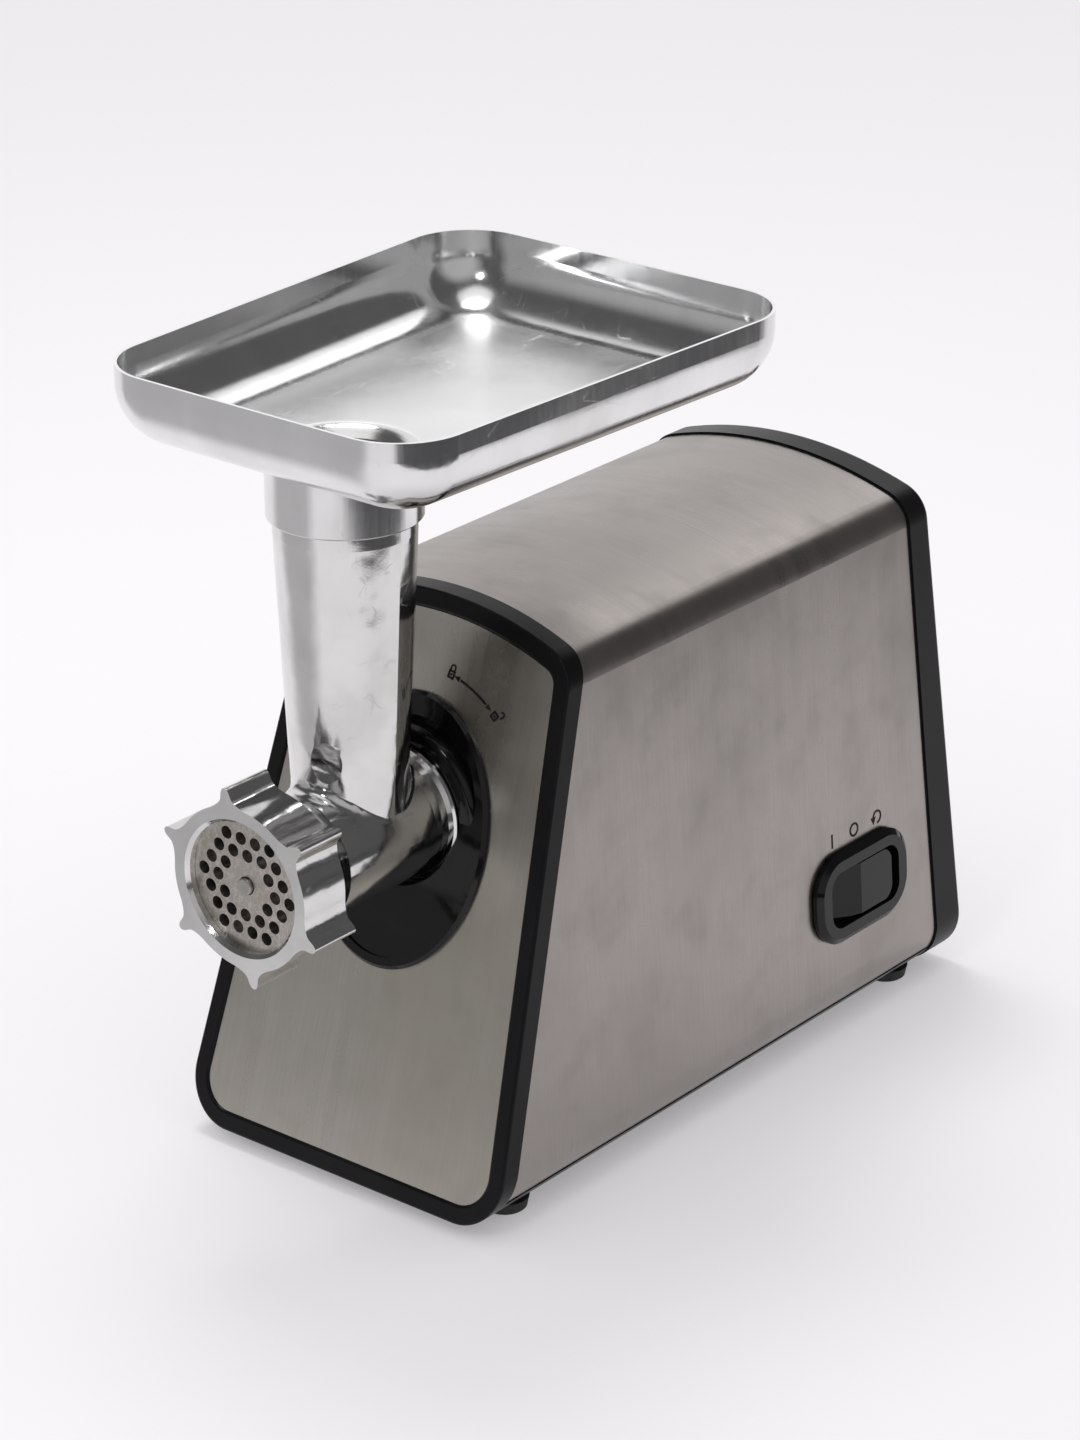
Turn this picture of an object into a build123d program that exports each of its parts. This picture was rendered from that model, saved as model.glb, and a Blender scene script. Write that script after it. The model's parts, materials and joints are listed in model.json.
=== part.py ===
from build123d import *
import os
from math import acos, atan2, cos, degrees, pi, radians, sin, sqrt, tan

# Electric meat grinder. Millimetres, +Z up, front of the machine towards -Y, switch on the +X side.
# The origin lies on the table, on the symmetry plane, midway between the four feet.

# ---------------------------------------------------------------- driving dimensions
HEAD_Z = 143.6            # height of the grinding axis above the table
NOSE_Y = -200.0           # front face of the hole plate

# housing: one cross-section carried along Y, cut by a front that leans back and a rear that leans forward
BODY_BOTTOM = 5.0
BODY_TOP = 223.0
BODY_HALF_WIDTH = 78.9    # at the bottom edge
BODY_TAPER = 0.075        # loss of half width per millimetre of height
SHOULDER_Z = 210.8
CORNER_R = 20.0
SHOULDER_R = 14.0
FRONT_Y = -155.9          # front plane at the bottom edge
FRONT_LEAN = 0.307
REAR_Y = 153.0            # rear plane at the bottom edge
REAR_LEAN = 0.085
WRAP_REAR_Y = 133.8       # where the steel wrap ends, at the bottom edge
WRAP_REAR_LEAN = 0.062
BEZEL_DEPTH = 9.0
BEZEL_FACE = 7.2
WRAP_INSET = 0.4
WRAP_SHEET = 0.9
WRAP_EDGE_Z = 14.1        # lower edge of the steel wrap
FLOOR_SHEET = 3.0

# head socket on the front
OVAL_X = 41.2
OVAL_Y = 53.4
OVAL_DROP = 8.2
COLLAR_R = 34.5
COLLAR_FACE = 86.5        # distances behind the nose are written as "depth"
POCKET_R = 27.6
POCKET_DEPTH = 88.0
SOCKET_R = 25.3
SOCKET_END = 113.0

# grinding head
TUBE_R = 24.6
TUBE_BORE = 21.0
BARREL_R = 29.2
BARREL_LENGTH = 17.6
TAIL_R = 25.0
TAIL_END = 106.0
FLANGE_R = 27.2
FLANGE_FRONT = 85.4
FLANGE_BACK = 87.7
NECK_DEPTH = 57.0
NECK_R0 = 20.8            # neck radius extrapolated to the grinding axis
NECK_FLARE = 0.0453
NECK_RIM_R = 26.3
NECK_TOP = 146.0          # above the grinding axis
THROAT_R = 19.5
THROAT_START = 31.0       # the straight throat begins this far above the grinding axis
THROAT_ROOT_R = 20.4      # wider passage below it, down into the barrel
FUNNEL_R = 23.6

# hole plate, blade, auger
PLATE_R = 26.9
PLATE_THICK = 5.0
HOLE_PITCH = 6.9
HOLE_D = 5.0
PLATE_TURN = -3.9
STUD_R = 3.3

# ring nut
NUT_FRONT = -4.0
NUT_BACK = 17.8
NUT_TIP_R = 38.7
NUT_VALLEY_R = 31.6
NUT_LOBES = 6
NUT_TIP_ANGLE = 39.0
NUT_APERTURE = 25.4
NUT_BORE = 29.7

# tray
TRAY_RIM_Z = 180.7        # above the grinding axis
TRAY_DEPTH = 112.5        # tray centre behind the nose
TRAY_HALF_LENGTH = 108.5
TRAY_HALF_FRONT = 75.2
TRAY_HALF_REAR = 83.8
TRAY_CORNER = 27.0
TRAY_HEIGHT = 30.5
TRAY_ROUND = 23.3
TRAY_SHEET = 1.2
LIP_R = 20.3              # drawn lip round the feed hole
LIP_DROP = 8.0
DISH_R = 32.0             # the floor starts to fall towards the lip here
SLEEVE_R = 28.7
SLEEVE_BORE = 26.6
SLEEVE_BOTTOM = 126.5

# switch
SWITCH_Y = 80.0
SWITCH_Z = 62.6
SWITCH_LENGTH = 62.5
SWITCH_HEIGHT = 38.0
SWITCH_CORNER = 16.0
SWITCH_THROW = 10.5        # tilt of the rocker each way from its middle

# feet
FOOT_X = 58.0
FOOT_Y = 125.0
FOOT_R = 9.5

# gear train: pinion on the motor, cluster on a fixed pin, wheel on the output shaft
PRESSURE_ANGLE = 20.0
FAST_MODULE = 1.0
SLOW_MODULE = 1.5
PINION_TEETH = 12
WHEEL_TEETH = 60
TOOTH_THINNING = 0.12
WHEEL_ADDENDUM = 0.72

# ---------------------------------------------------------------- derived
FAST_CENTRES = FAST_MODULE * (PINION_TEETH + WHEEL_TEETH) / 2
SLOW_CENTRES = SLOW_MODULE * (PINION_TEETH + WHEEL_TEETH) / 2
CLUSTER_X = -0.6 * SLOW_CENTRES
CLUSTER_Z = HEAD_Z - 0.8 * SLOW_CENTRES
MOTOR_X = 0.0
MOTOR_Z = CLUSTER_Z - sqrt(FAST_CENTRES**2 - CLUSTER_X**2)


def depth(d):
    """Y of a station measured back from the nose."""
    return NOSE_Y + d


def front_y(z):
    return FRONT_Y + FRONT_LEAN * (z - BODY_BOTTOM)


def rear_y(z):
    return REAR_Y - REAR_LEAN * (z - BODY_BOTTOM)


def wrap_rear_y(z):
    return WRAP_REAR_Y - WRAP_REAR_LEAN * (z - BODY_BOTTOM)


def side_x(z):
    return BODY_HALF_WIDTH - BODY_TAPER * (z - BODY_BOTTOM)


def outline(inset=0.0):
    """Housing cross-section, shrunk by the inset (a negative inset grows it)."""
    low = (BODY_HALF_WIDTH, BODY_BOTTOM)
    shoulder = (side_x(SHOULDER_Z), SHOULDER_Z)
    path = (
        Line((-low[0], low[1]), low)
        + Line(low, shoulder)
        + ThreePointArc(shoulder, (0, BODY_TOP), (-shoulder[0], SHOULDER_Z))
        + Line((-shoulder[0], SHOULDER_Z), (-low[0], low[1]))
    )
    face = make_face(path)
    corners = face.vertices().sort_by(Axis.Y)
    face = fillet(corners[:2], CORNER_R)
    tops = [v for v in face.vertices() if abs(v.Y - SHOULDER_Z) < 0.01]
    face = fillet(tops, SHOULDER_R)
    if inset:
        face = offset(face, amount=-inset)
    return face


def prism(face):
    """A cross-section in X and Z carried right along Y."""
    return extrude(Plane.XZ * face, amount=400, both=True)


def band(low_y, high_y):
    """Everything between two inclined planes, each given as Y against Z."""
    z0, z1 = -40.0, 290.0
    pts = [(low_y(z0), z0), (high_y(z0), z0), (high_y(z1), z1), (low_y(z1), z1)]
    face = make_face(Polyline(*pts, close=True))
    return extrude(Plane.YZ * face, amount=160, both=True)


def from_front(d):
    return lambda z: front_y(z) + d


def from_rear(d):
    return lambda z: rear_y(z) - d


def from_wrap_rear(d):
    return lambda z: wrap_rear_y(z) + d


def along_y(x, z, d0, d1, r):
    """Cylinder along Y between two depths."""
    length = d1 - d0
    return Pos(x, depth(d0) + length / 2, z) * Rot(90, 0, 0) * Cylinder(r, length)


def turned(profile, x=0.0, z=HEAD_Z):
    """Solid of revolution about the Y direction; the profile is a list of (radius, depth)."""
    pts = [(r, depth(d)) for r, d in profile]
    face = make_face(Polyline(*pts, close=True))
    return Pos(x, 0, z) * revolve(face, Axis.Y)


def ring_y(x, z, d0, d1, outer, inner):
    return along_y(x, z, d0, d1, outer) - along_y(x, z, d0 - 1, d1 + 1, inner)


def gear(module, teeth, addendum, bore, d0, d1, x, z, turn):
    """Involute spur gear along Y; one tooth points along the given turn from +X towards +Z."""
    r_pitch = module * teeth / 2
    r_base = r_pitch * cos(radians(PRESSURE_ANGLE))
    r_tip = r_pitch + addendum * module
    r_root = r_pitch - 1.25 * module
    inv = tan(radians(PRESSURE_ANGLE)) - radians(PRESSURE_ANGLE)
    half = pi / (2 * teeth) - TOOTH_THINNING / (2 * r_pitch)
    r_low = max(r_base, r_root)
    flank = []
    steps = 5
    for i in range(steps + 1):
        r = r_low + (r_tip - r_low) * i / steps
        a = acos(min(1.0, r_base / r))
        flank.append((r, half + inv - (tan(a) - a)))
    if r_root < r_base:
        flank.insert(0, (r_root, flank[0][1]))
    pts = []
    for k in range(teeth):
        c = radians(turn) + 2 * pi * k / teeth
        for r, a in flank:
            pts.append((r * cos(c - a), r * sin(c - a)))
        for r, a in reversed(flank):
            pts.append((r * cos(c + a), r * sin(c + a)))
    face = make_face(Polyline(*pts, close=True))
    if bore:
        face = face - Circle(bore)
    length = d1 - d0
    solid = extrude(Plane.XZ * face, amount=length)
    return Pos(x, depth(d1), z) * solid


parts = {}

# ---------------------------------------------------------------- housing shell
front_frame = prism(outline()) & band(from_front(0), from_front(BEZEL_DEPTH))
front_frame -= prism(outline(BEZEL_FACE))
front_edges = [
    e for e in front_frame.edges() if abs(e.center().Y - front_y(e.center().Z)) < 0.02
]
front_frame = fillet(front_edges, 1.1)
ledge = prism(outline(BEZEL_FACE - 0.2) - outline(BEZEL_FACE + 7)) & band(from_front(2.4), from_front(4.6))
parts["front_bezel"] = front_frame + ledge

front_plane = Plane(
    origin=(0, front_y(HEAD_Z), HEAD_Z), x_dir=(1, 0, 0), z_dir=(0, -1, FRONT_LEAN)
)
oval_centre = Pos(0, -OVAL_DROP, 0)
oval_hole = extrude(front_plane * oval_centre * Pos(0, 0, -20) * Ellipse(OVAL_X - 3, OVAL_Y - 3), amount=40)
front_plate = prism(outline(BEZEL_FACE + 0.15)) & band(from_front(0.9), from_front(2.2))
parts["front_plate"] = front_plate - oval_hole

# escutcheon: an oval in the leaning plane with the level collar of the head socket growing out of it
oval = extrude(front_plane * oval_centre * Pos(0, 0, -4) * Ellipse(OVAL_X, OVAL_Y), amount=5.6)
oval &= band(from_front(-10), from_front(0.85))
rim_edges = [e for e in oval.edges() if e.center().Y < front_y(e.center().Z) - 1.0]
oval = chamfer(rim_edges, 1.3)
dish = extrude(
    front_plane * oval_centre * Pos(0, 0, 0.7) * Ellipse(OVAL_X - 4.5, OVAL_Y - 4.5), amount=6
)
oval -= dish
skirt = extrude(
    front_plane * oval_centre * Pos(0, 0, -9) * (Ellipse(OVAL_X - 3.3, OVAL_Y - 3.3)), amount=9.2
)
collar = along_y(0, HEAD_Z, COLLAR_FACE, SOCKET_END, COLLAR_R)
collar_edge = collar.edges().filter_by(GeomType.CIRCLE).sort_by(Axis.Y)[0]
collar = fillet(collar_edge, 3.0)
escutcheon = oval + skirt + collar
escutcheon -= along_y(0, HEAD_Z, 20, POCKET_DEPTH, POCKET_R)
escutcheon -= along_y(0, HEAD_Z, 20, SOCKET_END + 10, SOCKET_R)
parts["escutcheon"] = escutcheon

# printed marks beside the socket: closed lock, open lock, and the arrow between them
MARK = 0.12


def on_front(shape, lift=-0.9):
    """Thin print standing on the front plate."""
    return extrude(front_plane * Pos(0, 0, lift / sqrt(1 + FRONT_LEAN**2)) * shape, amount=MARK)


def padlock(open_turn):
    body = Rectangle(5.4, 5.6) - Rectangle(2.6, 2.8) + Circle(0.9)
    bow = Circle(2.2) - Circle(1.1)
    bow = (bow & Pos(0, 2) * Rectangle(6, 4)) + Pos(1.65, -1.2) * Rectangle(1.1, 2.4)
    leg = Pos(-1.65, -1.2) * Rectangle(1.1, 2.4)
    shackle = Pos(0, 4.6) * (bow + leg)
    if open_turn:
        shackle = Pos(3.2, 4.9) * Rot(0, 0, -20) * bow
    return scale(body + shackle, by=0.6)


ARROW_R = 55.0
arrow = (Circle(ARROW_R + 0.5) - Circle(ARROW_R - 0.5)) & make_face(
    Polyline((0, 0), (80 * sin(radians(15.5)), 80 * cos(radians(15.5))),
             (80 * sin(radians(31.0)), 80 * cos(radians(31.0))), close=True)
)
tips = []
for angle, way in ((15.0, 1), (31.5, -1)):
    head = make_face(Polyline((0, 1.1), (0, -1.1), (-2.9, 0), close=True))
    head = Rot(0, 0, 0 if way > 0 else 180) * head
    tips.append(Rot(0, 0, -angle) * Pos(0, ARROW_R) * head)
lock_closed = Rot(0, 0, -10.5) * Pos(0, ARROW_R) * padlock(False)
lock_open = Rot(0, 0, -37.0) * Pos(0, ARROW_R) * padlock(True)
parts["lock_marks"] = Part() + [on_front(s) for s in (arrow, tips[0], tips[1], lock_closed, lock_open)]

# steel wrap over the top and both sides
side_plane = Plane(
    origin=(side_x(SWITCH_Z), SWITCH_Y, SWITCH_Z), x_dir=(0, 1, 0), z_dir=(1, 0, BODY_TAPER)
)
wrap = prism(outline(WRAP_INSET) - outline(WRAP_INSET + WRAP_SHEET))
wrap &= band(from_front(BEZEL_DEPTH + 0.05), from_wrap_rear(0))
wrap -= Pos(0, 0, WRAP_EDGE_Z - 50) * Box(400, 600, 100)
wrap -= extrude(side_plane * Pos(0, 0, -12) * RectangleRounded(56, 28, 5), amount=24)
parts["steel_wrap"] = wrap

# floor tray between the two bezels
floor = prism(outline(0.0)) & band(from_front(BEZEL_DEPTH + 0.05), from_wrap_rear(-0.05))
floor &= Pos(0, 0, BODY_BOTTOM + 50) * Box(400, 600, 100)
floor -= Pos(0, 0, WRAP_EDGE_Z - 0.2 + 150) * Box(400, 600, 300)
floor_hollow = prism(outline(FLOOR_SHEET)) - Pos(0, 0, BODY_BOTTOM + FLOOR_SHEET - 50) * Box(400, 800, 100)
floor -= floor_hollow & band(from_front(BEZEL_DEPTH + 3), from_wrap_rear(-3))
bosses = Part() + [
    Pos(x, y, (BODY_BOTTOM + 16) / 2 + 1) * Cylinder(5.5, 16 - BODY_BOTTOM + 2)
    for x in (-FOOT_X, FOOT_X) for y in (-FOOT_Y, FOOT_Y)
]
floor += bosses
FLOOR_SLOTS = 9
for i in range(FLOOR_SLOTS):
    floor -= Pos(0, -20 + 10 * i, BODY_BOTTOM) * extrude(SlotOverall(64, 3.4), amount=8, both=True)
for x in (-FOOT_X, FOOT_X):
    for y in (-FOOT_Y, FOOT_Y):
        floor -= Pos(x, y, BODY_BOTTOM) * Cylinder(1.6, 60)
parts["floor_tray"] = floor

# rear ring and louvred rear panel
rear_ring = prism(outline(-0.5)) & band(from_wrap_rear(0.9), from_rear(0))
rear_ring -= prism(outline(9.0))
rear_edges = [e for e in rear_ring.edges() if abs(e.center().Y - rear_y(e.center().Z)) < 0.02]
rear_ring = fillet(rear_edges, 2.5)
neck_ring = prism(outline(1.6) - outline(9.0)) & band(from_wrap_rear(-8), from_wrap_rear(1.0))
neck_ring -= Pos(0, 0, WRAP_EDGE_Z + 14 - 50) * Box(400, 800, 100)
low_lip = prism(outline(0.2) - outline(9.0)) & band(from_wrap_rear(0.0), from_wrap_rear(1.0))
rear_ring = rear_ring + neck_ring + low_lip
parts["rear_bezel"] = rear_ring

rear_panel = prism(outline(9.15)) & band(from_rear(7.0), from_rear(3.5))
LOUVRES = 11
for i in range(LOUVRES):
    z = 72 + 10 * i
    cut = Pos(0, rear_y(z) - 5, z) * Rot(90, 0, 0) * extrude(SlotOverall(96, 4.2), amount=20, both=True)
    rear_panel -= cut
slats = Part() + [
    Pos(0, rear_y(72 + 10 * i) - 7.2, 72 + 10 * i) * Rot(35, 0, 0) * Box(94, 1.4, 7.0)
    for i in range(LOUVRES)
]
GLAND_Z = 38.0
rear_plane = Plane(origin=(0, rear_y(GLAND_Z), GLAND_Z), x_dir=(-1, 0, 0), z_dir=(0, 1, REAR_LEAN))
rear_panel -= extrude(rear_plane * Pos(0, 0, -20) * Circle(7.6), amount=40)
parts["rear_panel"] = rear_panel + (slats & prism(outline(9.6)))


def gland_disc(low, high, r):
    return extrude(rear_plane * Pos(0, 0, low) * Circle(r), amount=high - low)


gland = gland_disc(-12, 0.6, 7.3) + gland_disc(-3.4, -0.2, 10.5) + gland_disc(-11, -7.6, 9.5)
gland -= gland_disc(-30, 10, 3.6)
parts["cord_gland"] = gland

# ---------------------------------------------------------------- feet
FOOT_NAMES = {"front_left": (-1, -1), "front_right": (1, -1), "rear_left": (-1, 1), "rear_right": (1, 1)}
foot_profile = make_face(
    Polyline((1.9, 2.0), (1.9, 4.95), (FOOT_R, 4.95), (FOOT_R - 0.9, 0.6), (FOOT_R - 1.6, 0),
             (4.0, 0), (4.0, 2.0), close=True)
)
screw_profile = make_face(
    Polyline((0, 0.7), (0, 15.0), (1.55, 15.0), (1.55, 1.95), (3.4, 1.95), (3.4, 0.7), close=True)
)
foot = revolve(Plane.XZ * foot_profile, Axis.Z)
foot_screw = revolve(Plane.XZ * screw_profile, Axis.Z) - Pos(0, 0, 0.7) * Box(1.0, 4.6, 1.4)
screws = []
for name, (sx, sy) in FOOT_NAMES.items():
    parts["foot_" + name] = Pos(sx * FOOT_X, sy * FOOT_Y, 0) * foot
    screws.append(Pos(sx * FOOT_X, sy * FOOT_Y, 0) * foot_screw)
parts["foot_screws"] = Part() + screws

# ---------------------------------------------------------------- switch
ROCKER_HALF = 21.5
ROCKER_WIDE = 22.6
OPENING = (46.5, 24.0, 7.2)
PIVOT = -9.0               # rocker pivot, below the steel
bezel = extrude(side_plane * RectangleRounded(SWITCH_LENGTH, SWITCH_HEIGHT, SWITCH_CORNER), amount=3.6)
bezel_edges = bezel.faces().sort_by(Axis.X)[-1].edges()
bezel = chamfer(bezel_edges, 1.8, 2.6)
bezel -= extrude(side_plane * Pos(0, 0, -5) * RectangleRounded(*OPENING), amount=20)
parts["switch_bezel"] = bezel

case = extrude(side_plane * Pos(0, 0, -22) * RectangleRounded(55, 27, 4), amount=21.9)
case -= extrude(side_plane * Pos(0, 0, -18) * RectangleRounded(*OPENING), amount=30)
tabs = Part() + [
    extrude(side_plane * Pos(x, 0, -29.5) * Rectangle(0.8, 6.3), amount=7.4) for x in (-16, -8, 0, 8, 16)
]
parts["switch_case"] = case
parts["switch_terminals"] = tabs

# the rocker is a low roof; it is stored tipped towards its front end, as it stands when running
slope = tan(radians(SWITCH_THROW))
eaves = 12.0 - ROCKER_HALF * slope
rocker_face = make_face(
    Polyline((-ROCKER_HALF, eaves), (0, 12.0), (ROCKER_HALF, eaves), (ROCKER_HALF - 1, 1), (9, -4), (-9, -4),
             (-ROCKER_HALF + 1, 1), close=True)
)
rocker = extrude(Plane.XZ * rocker_face, amount=ROCKER_WIDE / 2, both=True)
rocker &= extrude(Pos(0, 0, -20) * RectangleRounded(2 * ROCKER_HALF, ROCKER_WIDE, 6.0), amount=60)
rocker_tops = [
    e for e in rocker.edges()
    if e.center().Z > eaves - 0.5 and (abs(e.center().X) > 0.5 or abs(e.center().Y) > 1)
]
rocker = chamfer(rocker_tops, 0.5)
rocker = side_plane.location * Pos(0, 0, PIVOT) * Rot(0, -SWITCH_THROW, 0) * rocker
parts["switch_rocker"] = rocker

# printed switch positions: a bar, a ring, and a hooked arrow
SIDE_LIFT = -WRAP_INSET


def on_side(shape):
    return extrude(side_plane * Pos(0, 0, SIDE_LIFT) * shape, amount=MARK)


mark_row = SWITCH_HEIGHT / 2 + 5.5
bar = Pos(-16.5, mark_row) * Rectangle(0.9, 6.0)
zero = Pos(-1.5, mark_row) * (Circle(3.0) - Circle(2.1))
hook = Pos(14.5, mark_row) * ((Circle(3.0) - Circle(2.1)) - Pos(-3, -3) * Rectangle(6, 6))
hook += Pos(11.95, mark_row - 0.2) * make_face(Polyline((-1.7, 0.6), (1.7, 0.6), (0, -2.6), close=True))
parts["switch_marks"] = Part() + [on_side(s) for s in (bar, zero, hook)]

# ---------------------------------------------------------------- gearbox and motor inside the housing
CASE_FRONT = 114.0
CASE_REAR = 158.0


def case_outline(grow):
    circles = [
        (0.0, 0.0, 51.0), (CLUSTER_X, CLUSTER_Z - HEAD_Z, 31.7), (MOTOR_X, MOTOR_Z - HEAD_Z, 20.0)
    ]
    edges = Sketch() + [Pos(x, z) * Circle(r + grow) for x, z, r in circles]
    return make_hull(edges.edges())


def case_slice(grow, d0, d1):
    return Pos(0, depth(d1), HEAD_Z) * extrude(Plane.XZ * case_outline(grow), amount=d1 - d0)


gear_case = case_slice(4.0, CASE_FRONT, CASE_REAR - 4) - case_slice(1.0, CASE_FRONT + 4, CASE_REAR)
gear_case += along_y(0, HEAD_Z, CASE_FRONT + 2, CASE_FRONT + 9, 17)
gear_case += along_y(CLUSTER_X, CLUSTER_Z, CASE_FRONT + 2, CASE_FRONT + 7, 8)
gear_case -= along_y(0, HEAD_Z, CASE_FRONT - 2, CASE_FRONT + 12, 14.0)
gear_case -= along_y(CLUSTER_X, CLUSTER_Z, CASE_FRONT - 2, CASE_FRONT + 12, 4.0)
case_cover = case_slice(4.0, CASE_REAR - 3.95, CASE_REAR)
case_cover += along_y(CLUSTER_X, CLUSTER_Z, CASE_REAR - 6, CASE_REAR, 8)
case_cover += along_y(0, HEAD_Z, CASE_REAR - 12, CASE_REAR, 10)
case_cover -= along_y(MOTOR_X, MOTOR_Z, CASE_REAR - 12, CASE_REAR + 4, 11.0)
case_cover -= along_y(CLUSTER_X, CLUSTER_Z, CASE_REAR - 12, CASE_REAR + 4, 4.0)
case_cover -= along_y(0, HEAD_Z, CASE_REAR - 14, CASE_REAR - 3, 6.4)
parts["gear_case"] = gear_case
parts["gear_case_cover"] = case_cover
parts["cluster_pin"] = along_y(CLUSTER_X, CLUSTER_Z, CASE_FRONT + 0.5, CASE_REAR - 0.5, 3.98)
parts["output_bush"] = ring_y(0, HEAD_Z, CASE_FRONT - 0.5, CASE_FRONT + 9, 13.95, 11.05)
case_screws = []
for angle in (20, 60, 100, 140, 180):
    sx = 52.8 * cos(radians(angle))
    sz = 52.8 * sin(radians(angle))
    screw = along_y(sx, HEAD_Z + sz, CASE_REAR + 0.05, CASE_REAR + 2.6, 3.0)
    screw -= Pos(sx, depth(CASE_REAR + 2.6), HEAD_Z + sz) * Box(4.4, 1.8, 0.9)
    case_screws.append(screw)
parts["gear_case_screws"] = Part() + case_screws

# output shaft with the socket that drives the auger
output_shaft = along_y(0, HEAD_Z, 107.2, CASE_REAR - 4, 11.0) - along_y(0, HEAD_Z, 126, CASE_REAR, 20)
output_shaft += along_y(0, HEAD_Z, 126, CASE_REAR - 4, 6.1)
output_shaft += along_y(0, HEAD_Z, 107.2, 113.0, 13.0)
hex_socket = Pos(0, depth(112) + 2, HEAD_Z) * extrude(Plane.XZ * RegularPolygon(7.0, 6), amount=12, both=True)
output_shaft -= hex_socket & along_y(0, HEAD_Z, 100, 121, 30)
parts["output_shaft"] = output_shaft
slow_angle = degrees(atan2(CLUSTER_Z - HEAD_Z, CLUSTER_X))
WHEEL_FRONT = 124.5
parts["output_gear"] = gear(
    SLOW_MODULE, WHEEL_TEETH, WHEEL_ADDENDUM, 6.12, WHEEL_FRONT + 1.8, WHEEL_FRONT + 13.8, 0, HEAD_Z, slow_angle
)
half_slow = 180.0 / PINION_TEETH
parts["cluster_pinion"] = gear(
    SLOW_MODULE, PINION_TEETH, 1.0, 4.06, WHEEL_FRONT, WHEEL_FRONT + 15.3, CLUSTER_X, CLUSTER_Z,
    slow_angle + 180 + half_slow
)
fast_angle = degrees(atan2(MOTOR_Z - CLUSTER_Z, MOTOR_X - CLUSTER_X))
wheel = gear(
    FAST_MODULE, WHEEL_TEETH, WHEEL_ADDENDUM, 4.06, WHEEL_FRONT + 15.4, WHEEL_FRONT + 25.0, CLUSTER_X, CLUSTER_Z,
    fast_angle
)
for k in range(6):
    wheel -= Pos(CLUSTER_X, 0, CLUSTER_Z) * Rot(0, 60 * k, 0) * Pos(18, 0, 0) * along_y(0, 0, 130, 160, 5)
parts["cluster_wheel"] = wheel

# motor
STATOR = (196.0, 238.0)
STATOR_R = 43.0
ARMATURE_R = 24.0
shaft = turned(
    [(0, 150.0), (0, 296.0), (4.0, 296.0), (4.0, 152.0), (3.0, 151.0), (3.0, 150.0)], MOTOR_X, MOTOR_Z
)
parts["motor_shaft"] = shaft - along_y(MOTOR_X, MOTOR_Z, 138, 164, 8)
parts["motor_pinion"] = gear(
    FAST_MODULE, PINION_TEETH, 1.0, 0, WHEEL_FRONT + 13.9, 163.9, MOTOR_X, MOTOR_Z, fast_angle + 180 + half_slow
)
core = along_y(MOTOR_X, MOTOR_Z, STATOR[0], STATOR[1], ARMATURE_R) - along_y(MOTOR_X, MOTOR_Z, 180, 250, 4.02)
SLOTS = 12
for k in range(SLOTS):
    slot = Pos(MOTOR_X, depth(215), MOTOR_Z) * Rot(0, 360 / SLOTS * k, 0) * Pos(20, 0, 0) * Box(12, 80, 2.4)
    core -= slot
parts["armature_core"] = core
parts["armature_windings"] = (
    ring_y(MOTOR_X, MOTOR_Z, STATOR[0] - 6.5, STATOR[0] - 0.1, 20, 4.02)
    + ring_y(MOTOR_X, MOTOR_Z, STATOR[1] + 0.1, STATOR[1] + 12, 20, 4.02)
)
commutator = ring_y(MOTOR_X, MOTOR_Z, 254, 270, 12.0, 4.02)
for k in range(24):
    commutator -= Pos(MOTOR_X, depth(262), MOTOR_Z) * Rot(0, 15 * k, 0) * Pos(12, 0, 0) * Box(2.0, 20, 0.5)
parts["commutator"] = commutator
fan = ring_y(MOTOR_X, MOTOR_Z, 172, 173.6, 36, 4.02) + ring_y(MOTOR_X, MOTOR_Z, 172, 180, 7, 4.02)
fan += [
    Pos(MOTOR_X, depth(176.5), MOTOR_Z) * Rot(0, 30 * k, 0) * Pos(25, 0, 0) * Rot(0, 18, 0) * Box(18, 7, 1.4)
    for k in range(12)
]
parts["cooling_fan"] = fan
stator = ring_y(MOTOR_X, MOTOR_Z, STATOR[0], STATOR[1], STATOR_R, ARMATURE_R + 0.7)
for side in (-1, 1):
    window = along_y(0, 0, 190, 245, 35) - along_y(0, 0, 190, 245, ARMATURE_R + 4)
    keep = Pos(0, depth(218), 26 * side) * Box(40, 80, 26)
    stator -= Pos(MOTOR_X, 0, MOTOR_Z) * (window & keep)
parts["stator_core"] = stator
coil = []
for side in (-1, 1):
    loop = along_y(0, 0, 188.5, 246, 34) - along_y(0, 0, 180, 252, ARMATURE_R + 5)
    loop &= Pos(0, depth(217), 26 * side) * Box(36, 80, 22)
    coil.append(Pos(MOTOR_X, 0, MOTOR_Z) * loop)
parts["field_coils"] = Part() + coil


def bracket(d0, d1, bore, arms):
    plate = ring_y(MOTOR_X, MOTOR_Z, d0, d1, bore + 5, bore)
    for a in arms:
        plate += (
            Pos(MOTOR_X, depth((d0 + d1) / 2), MOTOR_Z) * Rot(0, a, 0)
            * Pos((STATOR_R + bore + 3) / 2, 0, 0) * Box(STATOR_R - bore - 3, d1 - d0, 12)
        )
    rim = ring_y(MOTOR_X, MOTOR_Z, d0, d1, STATOR_R + 2, STATOR_R - 3)
    return plate + rim


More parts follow.
